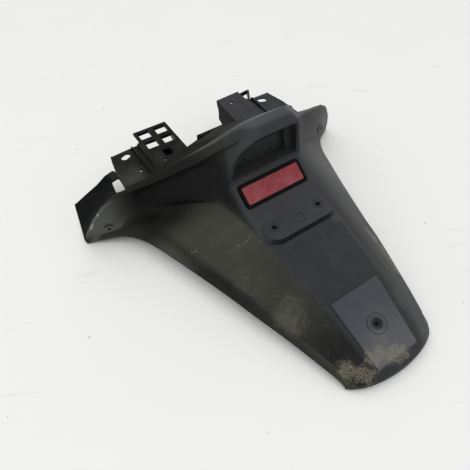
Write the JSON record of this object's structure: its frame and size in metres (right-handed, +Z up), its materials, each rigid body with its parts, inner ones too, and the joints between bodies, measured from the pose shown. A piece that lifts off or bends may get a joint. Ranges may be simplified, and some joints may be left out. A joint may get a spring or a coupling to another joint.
{
  "type": "motorcycle rear fender",
  "caption": "Moulded rear fender and plate carrier with flared wings, a hooded lamp recess, a red reflector, a plate bar and slotted rear brackets.",
  "frame": {"origin": "centre of the outline on the ground, as the fender lies outer face up on its flap tip and wing ends", "axes": "+X towards the wing that is at the right in the picture, +Y from the flap tip to the brackets, +Z up"},
  "size_m": [0.486, 0.5065, 0.215],
  "materials": {
    "shell_plastic": "satin",
    "bezel_plastic": "satin",
    "lens_plastic": "gloss",
    "nut_steel": "satin"
  },
  "bodies": {
    "root": {"fender_shell": "shell_plastic", "reflector_bezel": "bezel_plastic", "reflector_lens": "lens_plastic", "reflector_nut": "nut_steel"}
  },
  "joints": []
}
